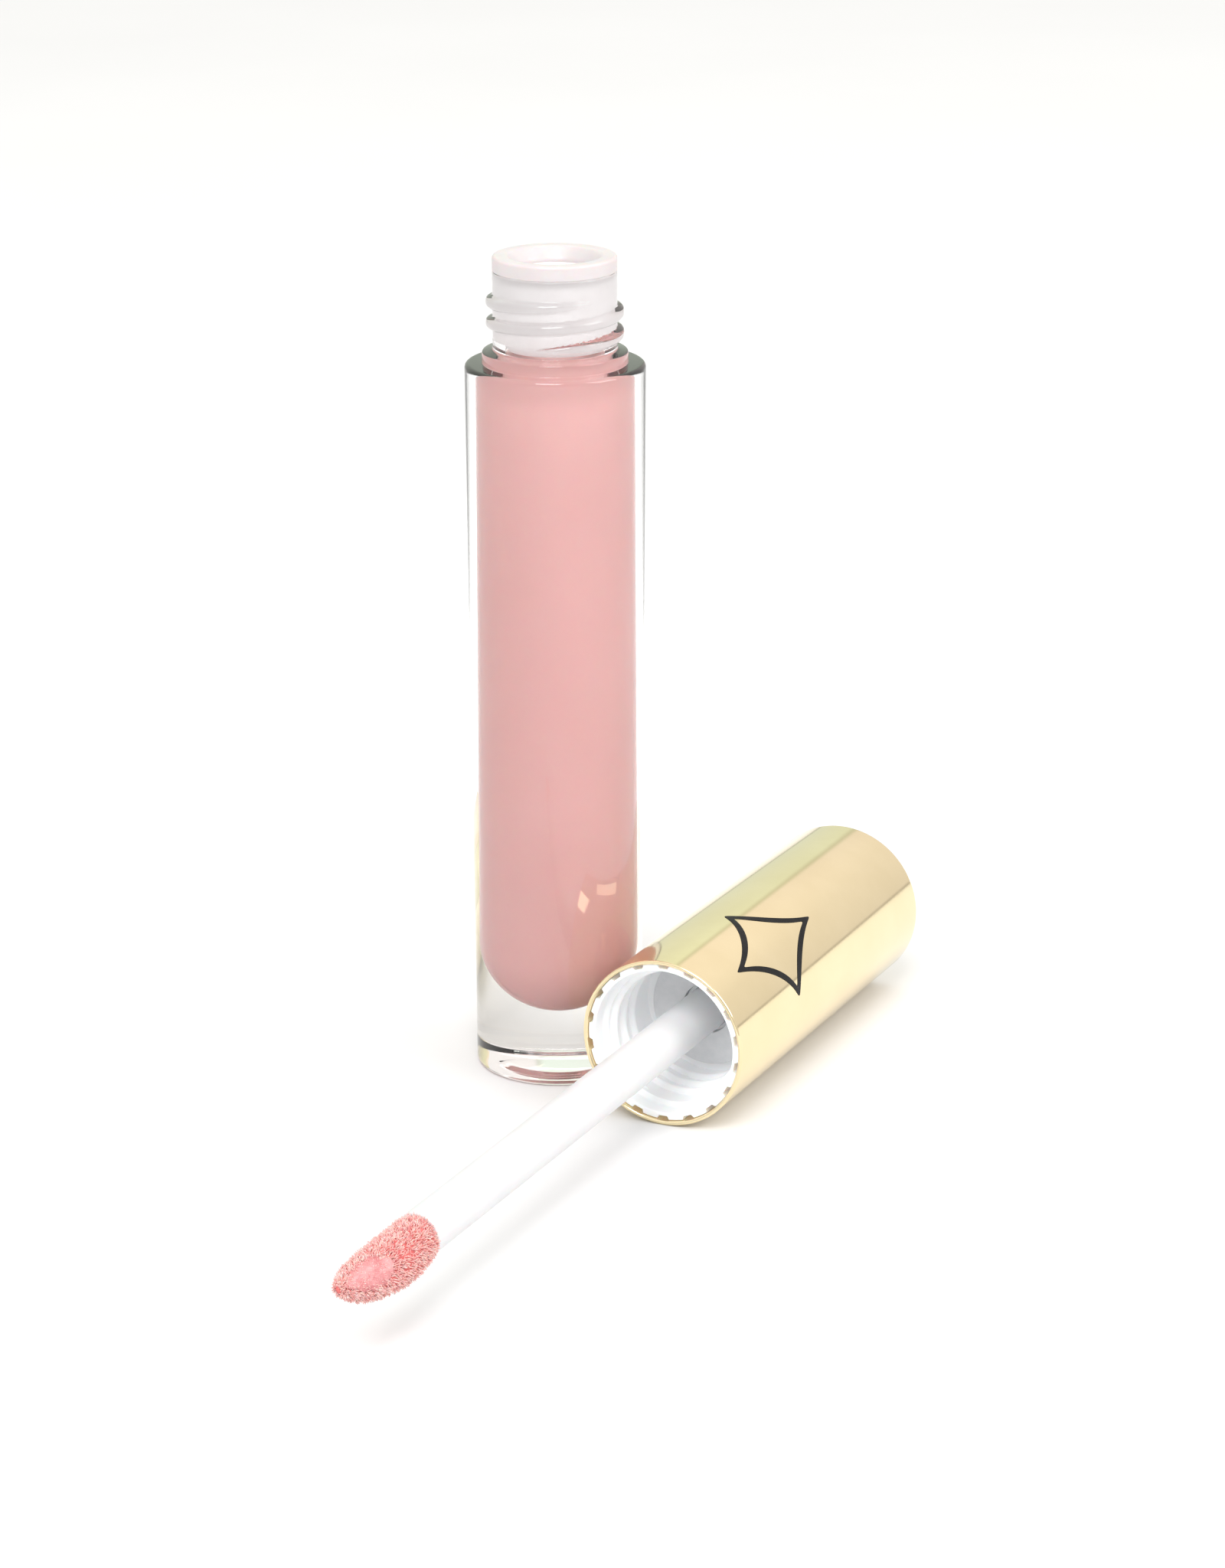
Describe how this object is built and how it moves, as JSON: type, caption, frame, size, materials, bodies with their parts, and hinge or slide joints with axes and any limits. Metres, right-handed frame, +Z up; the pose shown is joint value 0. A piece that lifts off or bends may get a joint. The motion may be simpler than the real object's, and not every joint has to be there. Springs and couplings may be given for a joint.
{
  "type": "lip gloss tube",
  "caption": "Clear thick-walled tube of pink lip gloss standing open, with a wiper in its threaded neck, and its gold cap with a wand and a flocked slanted tip lying beside it.",
  "frame": {"origin": "on the table, under the middle of the whole layout's bounding box", "axes": "+Z up along the standing bottle; the viewer stands at -Y; the cap lies along (0.441, 0.897, 0), its mouth and wand towards -Y"},
  "size_m": [0.0626, 0.112, 0.0905],
  "materials": {
    "clear_plastic": "clear, polished",
    "milky_plastic": "milky, half translucent",
    "pink_gloss": "opaque glossy cream",
    "gold_shell": "mirror-bright pale gold, metallised",
    "black_print": "printed ink",
    "white_inner_cap": "satin moulded",
    "white_seal": "soft foam",
    "white_wand": "satin moulded",
    "white_core": "moulded",
    "pink_flock": "short dense flock",
    "smeared_gloss": "wet gloss"
  },
  "bodies": {
    "bottle": {"bottle": "clear_plastic", "wiper": "milky_plastic", "gloss_fill": "pink_gloss"},
    "seal": {"seal_ring": "white_seal"},
    "cap": {"cap_shell": "gold_shell", "cap_mark": "black_print", "inner_cap": "white_inner_cap", "wand_stem": "white_wand", "tip_core": "white_core", "tip_flock": "pink_flock", "gloss_smear": "smeared_gloss"}
  },
  "joints": [
    {"name": "cap_advance", "type": "slide", "parent": "bottle", "child": "seal", "axis": [-0.441, -0.8975, 0], "range_m": [0, 0.00473]},
    {"name": "cap_turn", "type": "hinge", "parent": "seal", "child": "cap", "pos_m": [0.00097, 0.00688, 0.0093], "axis": [-0.441, -0.8975, 0], "range_deg": [0, 756]}
  ],
  "couplings": [
    {"joint": "cap_advance", "follows": "cap_turn", "m_per_rad": 0.0003581}
  ]
}
